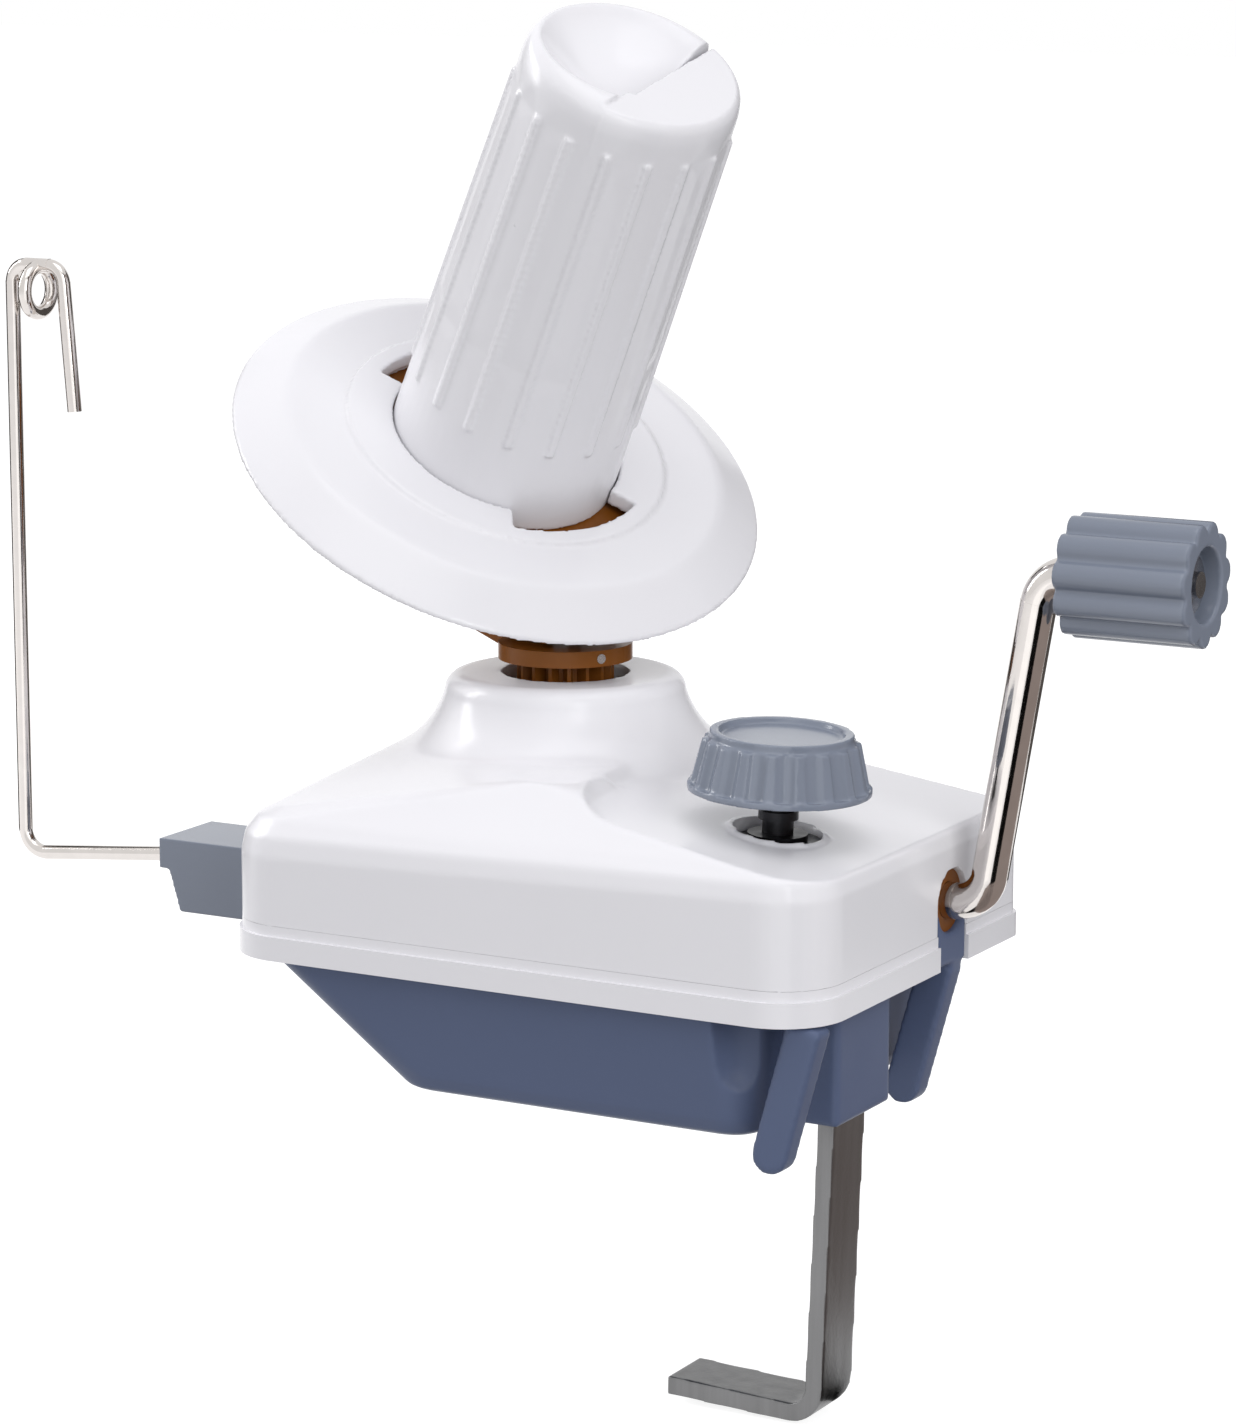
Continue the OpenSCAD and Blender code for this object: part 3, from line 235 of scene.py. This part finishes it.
def case_softness(point):
    """The flare's foot is blended well into the roof, and the ridge and bay a
    little; walls, neck rim, screw hole and the crank's slot stay crisp."""
    above_walls = ramp(point.z, 0.027, 0.031)
    below_neck_rim = 1 - ramp(point.z, 0.054, 0.058)
    from_knob = math.hypot(point.x - knob_place[0], point.y - knob_place[1])
    off_hole = ramp(from_knob, 0.0105, 0.015)
    off_slot = ramp(math.dist(point, slot_place), 0.011, 0.016)
    reach = math.hypot(point.x, point.y)
    in_ring = ramp(reach, 0.02, 0.024) * (1 - ramp(reach, 0.034, 0.04))
    foot = in_ring * ramp(point.z, 0.043, 0.046)
    return above_walls * below_neck_rim * off_hole * off_slot * (0.03 + 0.97 * foot)


white_gloss = moulded_plastic(
    "white_gloss", (0.8, 0.797, 0.822), spread=0.006, rough=0.22, orange_peel=0.015
)
lip_cut = 0.0262
cover = node_copy("cover")
resample(cover, grain=0.0005, passes=3, keep=0.45, softness=case_softness, soft_passes=80)
cut_flat(cover, lip_cut, keep_above=True)
bpy.ops.object.shade_smooth_by_angle(angle=math.radians(40))
lip = node_copy("cover")
cut_flat(lip, lip_cut, keep_above=False)
bpy.ops.object.shade_smooth_by_angle(angle=math.radians(30))
join_into(cover, lip)
fit_in_place(cover, "cover", "frame", white_gloss)

# Base: a dark blue-grey moulding whose belly rests on the table. Two slanted
# fins and a boxed passage for the clamp bar close its crank end. A round scoop
# runs beside the near fin, which a block keeps whole.
base_satin = moulded_plastic(
    "base_satin", (0.094, 0.123, 0.212), spread=0.03, rough=0.42, orange_peel=0.05, shine=0.25
)
fin_width, fin_thick, fin_length = 0.006, 0.0046, 0.021
fin_tip = (0.0626, -0.0451, -0.0008)
fin_tilt = math.radians(15.48)
fin_middle = (
    fin_tip[0] + math.sin(fin_tilt) * fin_length / 2,
    fin_tip[1],
    fin_tip[2] + math.cos(fin_tilt) * fin_length / 2,
)
base = node_copy("base")
bpy.ops.mesh.primitive_cube_add(size=1, location=fin_middle, rotation=(0, fin_tilt, 0))
fin = bpy.context.object
fin.scale = (fin_width, fin_thick, fin_length)
join_into(base, fin)
resample(base, grain=0.0005, passes=8, keep=0.4)
fit_in_place(base, "base", "frame", base_satin)

# Cover screws, post, pins and axles: zinc-plated steel, turned and cut. They
# sit in the base's pillars, the spindle, the leaning boss and the crank.


def plated_metal(name, colour, spread, rough, pitting, streak_scale=(1, 1, 1)):
    """Plated steel: drawn streaks along the piece, gloss that varies with
    them, and tiny pits in the plating."""
    mat, tree, shader, place = new_material(name)
    shader.inputs["Metallic"].default_value = 1
    drawn = tree.nodes.new("ShaderNodeMapping")
    drawn.inputs["Scale"].default_value = streak_scale
    tree.links.new(place, drawn.inputs["Vector"])
    streak = noise_layer(tree, drawn.outputs["Vector"], scale=420, detail=5)
    tint_by(tree, shader, streak, colour, spread, margin=0.3)
    gloss_by(tree, shader, streak, rough * 0.8, rough * 1.2)
    pits = noise_layer(tree, place, scale=1400, detail=3)
    relief_by(tree, shader, pits, pitting, depth=0.0001)
    return mat


def finish_nodes(names, mat):
    """Gives solids that are right as they are the finish of their material."""
    for name in names:
        piece = nodes[name]
        piece.data.materials.clear()
        piece.data.materials.append(mat)


zinc = plated_metal("zinc", (0.55, 0.55, 0.56), spread=0.09, rough=0.22, pitting=0.1)
fixings = ("cover_screws", "spindle_post", "cross_pin", "rod_clip", "grip_rivet")
finish_nodes((*fixings, "tilt_axle", "axle_screw"), zinc)

# Drive: spindle with its pinion and leaning boss, turntable, sun and crown
# gears and the crank bush, all mouldings in amber-brown nylon.
brown_nylon = moulded_plastic(
    "brown_nylon", (0.2, 0.066, 0.009), spread=0.12, rough=0.32, orange_peel=0.06, shine=0.2
)
finish_nodes(("carrier", "turntable", "sun_gear", "crown_gear", "crank_bush"), brown_nylon)

# Disc: a glossy white moulding whose skirt slopes down all around. The plate
# of the turntable below shows through two curved openings beside the cone.
cone_apex = (0, 0, 0.129)
turn_to_lean = Matrix.Rotation(math.radians(-29), 4, "Z")
lean_over = Matrix.Rotation(math.radians(32.4), 4, "Y")
cone_frame = Matrix.Translation(cone_apex) @ turn_to_lean @ lean_over
into_cone = cone_frame.inverted()


def disc_softness(point):
    """The skirt flows out of the disc's face; openings and rim stay crisp."""
    local = into_cone @ point
    reach = math.hypot(local.x, local.y)
    return ramp(reach, 0.031, 0.035) * (1 - ramp(reach, 0.041, 0.0435))


disc = node_copy("flange_disc")
resample(disc, grain=0.0004, passes=4, keep=0.4, softness=disc_softness, soft_passes=40)
fit_in_place(disc, "flange_disc", "winder", white_gloss)

# Winding cone: a glossy white ribbed tube whose lugs lie under the disc. The
# yarn end is caught in the slit of its dished top. A plug closes the slit in
# the near wall, and the tip is made longer, with a tighter rim.
cone_tip, cone_top = 0.0181, 0.0404
round_start, wide_round, tight_round = 0.0354, 0.005, 0.0025
rim_draw_in, extra_length, stretch_start = 0.0014, 0.002, -0.012
slit_turn = Matrix.Rotation(math.radians(119), 4, "Z")
slit_side, plug_width = -0.0042, 0.0011
plug_low, plug_top = 0.0308, 0.0394
plug_start, plug_end = 0.008, 0.01765
chamfers = 5

cone = node_copy("winding_cone")
bpy.ops.mesh.primitive_cube_add(size=1)
plug = bpy.context.object
plug.scale = (plug_end - plug_start, plug_width, plug_top - plug_low)
plug.location = (-(plug_start + plug_end) / 2, slit_side, (plug_top + plug_low) / 2)
bpy.ops.object.transform_apply(location=True, rotation=True, scale=True)
bpy.ops.object.mode_set(mode="EDIT")
for step in range(chamfers):
    slope = math.radians(90 * (step + 0.5) / chamfers)
    side, up = math.cos(slope), math.sin(slope)
    touch = (wide_round - plug_end - wide_round * side, 0, round_start + wide_round * up)
    bpy.ops.mesh.select_all(action="SELECT")
    bpy.ops.mesh.bisect(plane_co=touch, plane_no=(-side, 0, up), clear_outer=True, use_fill=True)
bpy.ops.object.mode_set(mode="OBJECT")
plug.data.transform(cone_frame @ slit_turn)
join_into(cone, plug)
for corner in cone.data.vertices:
    local = into_cone @ corner.co
    rise = min(max(local.z - round_start, 0), wide_round)
    solid_radius = cone_tip - wide_round + math.sqrt(wide_round**2 - rise**2)
    over = max(rise - wide_round + tight_round, 0)
    drawn_in = rim_draw_in * (rise / wide_round) ** 2
    radius = cone_tip - drawn_in - tight_round + math.sqrt(tight_round**2 - over**2)
    grow = radius / solid_radius
    taller = extra_length * ramp(local.z, stretch_start, cone_top)
    corner.co = cone_frame @ Vector((local.x * grow, local.y * grow, local.z + taller))
resample(cone, grain=0.00035, passes=3, keep=0.3)
fit_in_place(cone, "winding_cone", "winder", white_gloss)

# Crank: a nickel-plated round bar bent twice, with a lobed blue-grey grip
# that spins on its outer end and is held there by a riveted head.


def moulded_skin(node, body, mat, grain, passes, keep):
    """A solid with its edges rounded as they are made, in its finish."""
    piece = node_copy(node)
    resample(piece, grain, passes, keep)
    fit_in_place(piece, node, body, mat)


nickel = plated_metal("nickel", (0.66, 0.625, 0.6), spread=0.03, rough=0.1, pitting=0.04)
finish_nodes(("crank_rod",), nickel)
grip_satin = moulded_plastic(
    "grip_satin", (0.2, 0.228, 0.285), spread=0.03, rough=0.18, orange_peel=0.04
)
moulded_skin("crank_grip", "grip", grip_satin, grain=0.0003, passes=4, keep=0.5)

# Table clamp: a fluted knob moulded on a black screw, which draws a bent flat
# steel bar up against the underside of the table. The knob is squat, so the
# screw's neck shows below it.
knob_foot = Vector((*knob_place, 0.0452))
knob_axis = Vector((0.043619, 0, 0.999048))
knob_top = 0.0164
solid_height, squat_height = 12.6, 9.6
squat = squat_height / solid_height
knob = node_copy("clamp_knob")
for corner in knob.data.vertices:
    below = knob_top - (corner.co - knob_foot).dot(knob_axis)
    corner.co += knob_axis * below * (1 - squat)
resample(knob, grain=0.00025, passes=2, keep=0.4)
fit_in_place(knob, "clamp_knob", "knob", grip_satin)
black_oxide = plated_metal(
    "black_oxide", (0.028, 0.028, 0.031), spread=0.25, rough=0.36, pitting=0.12
)
finish_nodes(("clamp_screw", "clamp_washer"), black_oxide)
along_bar = (1, 1, 0.06)
bar_steel = plated_metal(
    "bar_steel", (0.2, 0.2, 0.202), spread=0.16, rough=0.38, pitting=0.3, streak_scale=along_bar
)
moulded_skin("clamp_bar", "bar", bar_steel, grain=0.00035, passes=2, keep=0.4)

# Yarn guide: nickel-plated spring wire with an eye and an open hook. It turns
# in a blue-grey block, which a tab holds in the case's left wall.
moulded_skin("guide_holder", "frame", grip_satin, grain=0.0003, passes=5, keep=0.5)
finish_nodes(("guide_wire",), nickel)

# Studio: a white floor under the clamp's foot and a white surround. Soft boxes
# stand at the left, above and at the right front. Cards that show only in
# reflections give the bare metal its streaks.
floor_gap = 0.0005
paper_grey, paper_glow = 0.36, 0.84


def rays_that_look(tree):
    """1 for rays from the camera, off a glossy face or through a clear one, and
    0 for the rest."""
    path = tree.nodes.new("ShaderNodeLightPath")
    looks = path.outputs["Is Camera Ray"]
    for kind in ("Is Glossy Ray", "Is Transmission Ray"):
        either = tree.nodes.new("ShaderNodeMath")
        either.operation = "MAXIMUM"
        tree.links.new(looks, either.inputs[0])
        tree.links.new(path.outputs[kind], either.inputs[1])
        looks = either.outputs["Value"]
    return looks


bpy.ops.mesh.primitive_plane_add(size=8, location=(0, 0, solid_low[2] - floor_gap))
floor = bpy.context.object
floor.name = "floor"
floor_mat = bpy.data.materials.new("floor_white")
floor_mat.use_nodes = True
tree = floor_mat.node_tree
tree.nodes.clear()
out = tree.nodes.new("ShaderNodeOutputMaterial")
paper = tree.nodes.new("ShaderNodeBsdfDiffuse")
paper.inputs["Color"].default_value = (paper_grey, paper_grey, paper_grey, 1)
lift = tree.nodes.new("ShaderNodeEmission")
lift.inputs["Color"].default_value = (1, 1, 1, 1)
share = tree.nodes.new("ShaderNodeMath")
share.operation = "MULTIPLY"
share.inputs[1].default_value = paper_glow
tree.links.new(rays_that_look(tree), share.inputs[0])
tree.links.new(share.outputs["Value"], lift.inputs["Strength"])
both = tree.nodes.new("ShaderNodeAddShader")
tree.links.new(paper.outputs["BSDF"], both.inputs[0])
tree.links.new(lift.outputs["Emission"], both.inputs[1])
tree.links.new(both.outputs["Shader"], out.inputs["Surface"])
floor.data.materials.append(floor_mat)

world = bpy.data.worlds.new("studio")
scene.world = world
world.use_nodes = True
tree = world.node_tree
tree.nodes.clear()
out = tree.nodes.new("ShaderNodeOutputWorld")
seen = tree.nodes.new("ShaderNodeBackground")
seen.inputs["Color"].default_value = (1, 1, 1, 1)
seen.inputs["Strength"].default_value = 1.0
fill = tree.nodes.new("ShaderNodeBackground")
fill.inputs["Color"].default_value = (0.975, 0.965, 1, 1)
fill.inputs["Strength"].default_value = 0.66
mix = tree.nodes.new("ShaderNodeMixShader")
tree.links.new(rays_that_look(tree), mix.inputs["Fac"])
tree.links.new(fill.outputs["Background"], mix.inputs[1])
tree.links.new(seen.outputs["Background"], mix.inputs[2])
tree.links.new(mix.outputs["Shader"], out.inputs["Surface"])


def soft_light(name, place, aim, size, watts):
    """Large square soft box that looks at a point of the winder."""
    data = bpy.data.lights.new(name, "AREA")
    data.size = size
    data.energy = watts
    lamp = bpy.data.objects.new(name, data)
    scene.collection.objects.link(lamp)
    lamp.location = place
    away = Vector(place) - Vector(aim)
    lamp.rotation_euler = away.to_track_quat("Z", "Y").to_euler()


winder_middle = (0, 0, 0.07)
soft_light("key", (-0.95, -0.05, 0.5), winder_middle, size=0.6, watts=6.6)
soft_light("top", (0.2, -0.25, 1.0), (0.02, 0, 0.07), size=0.7, watts=1.8)
soft_light("front", (0.75, -0.5, 0.4), winder_middle, size=0.6, watts=3.6)

card_height, card_middle = 0.44, 0.15
quarter_turn = math.radians(90)


def card(name, foot, aim, width, shade, lying=False):
    """Card that shows only in reflections, to give round bars their bright and
    dark streaks. It stands at its foot, or lies on the floor up to there."""
    reach = math.hypot(foot[0] - aim[0], foot[1] - aim[1])
    heading = math.atan2(foot[1] - aim[1], foot[0] - aim[0]) + quarter_turn
    if lying:
        place = ((foot[0] + aim[0]) / 2, (foot[1] + aim[1]) / 2, solid_low[2] + floor_gap)
        turn, height = (0, 0, heading), reach
    else:
        place = (*foot, card_middle)
        turn, height = (quarter_turn, 0, heading), card_height
    bpy.ops.mesh.primitive_plane_add(size=1, location=place, rotation=turn)
    flag = bpy.context.object
    flag.scale = (width, height, 1)
    flag.name = name
    mat = bpy.data.materials.new(name)
    mat.use_nodes = True
    shader = mat.node_tree.nodes["Principled BSDF"]
    shader.inputs["Base Color"].default_value = (0, 0, 0, 1)
    shader.inputs["Specular IOR Level"].default_value = 0
    shader.inputs["Emission Color"].default_value = (*shade, 1)
    shader.inputs["Emission Strength"].default_value = 1
    flag.data.materials.append(mat)
    flag.visible_camera = False
    flag.visible_diffuse = False
    flag.visible_shadow = False
    flag.visible_transmission = False


crank_place = (0.083, 0.0)
holder_place = (-0.09, -0.016)
black_foot = (0.185, -0.115)
warm_shade = (0.34, 0.285, 0.265)
deep_black, floor_black = (0.004, 0.004, 0.004), (0.01, 0.01, 0.01)
card("black_card", black_foot, crank_place, width=0.085, shade=deep_black)
card("warm_card", (0.255, 0.014), crank_place, width=0.3, shade=warm_shade)
card("white_card", (0.087, -0.25), crank_place, width=0.15, shade=(1.5, 1.5, 1.5))
card("black_floor_card", black_foot, crank_place, width=0.06, shade=floor_black, lying=True)
card("warm_floor_card", (0.3, 0.018), crank_place, width=0.34, shade=warm_shade, lying=True)
card("rear_left_card", (-0.38, 0.067), holder_place, width=0.3, shade=(0.06, 0.055, 0.05))
card("rear_right_card", (0.131, 0.245), crank_place, width=0.3, shade=(0.1, 0.09, 0.085))

# Camera: a long lens a little above the case, in front of it and turned towards
# the crank end, as the photograph was taken.
lens = bpy.data.cameras.new("camera")
lens.sensor_width = 36
lens.lens = 119.24
camera = bpy.data.objects.new("camera", lens)
scene.collection.objects.link(camera)
camera.location = (0.38292, -0.67276, 0.203)
camera.rotation_euler = (math.radians(79.2), 0, math.radians(29))
scene.camera = camera
scene.view_settings.view_transform = "Standard"
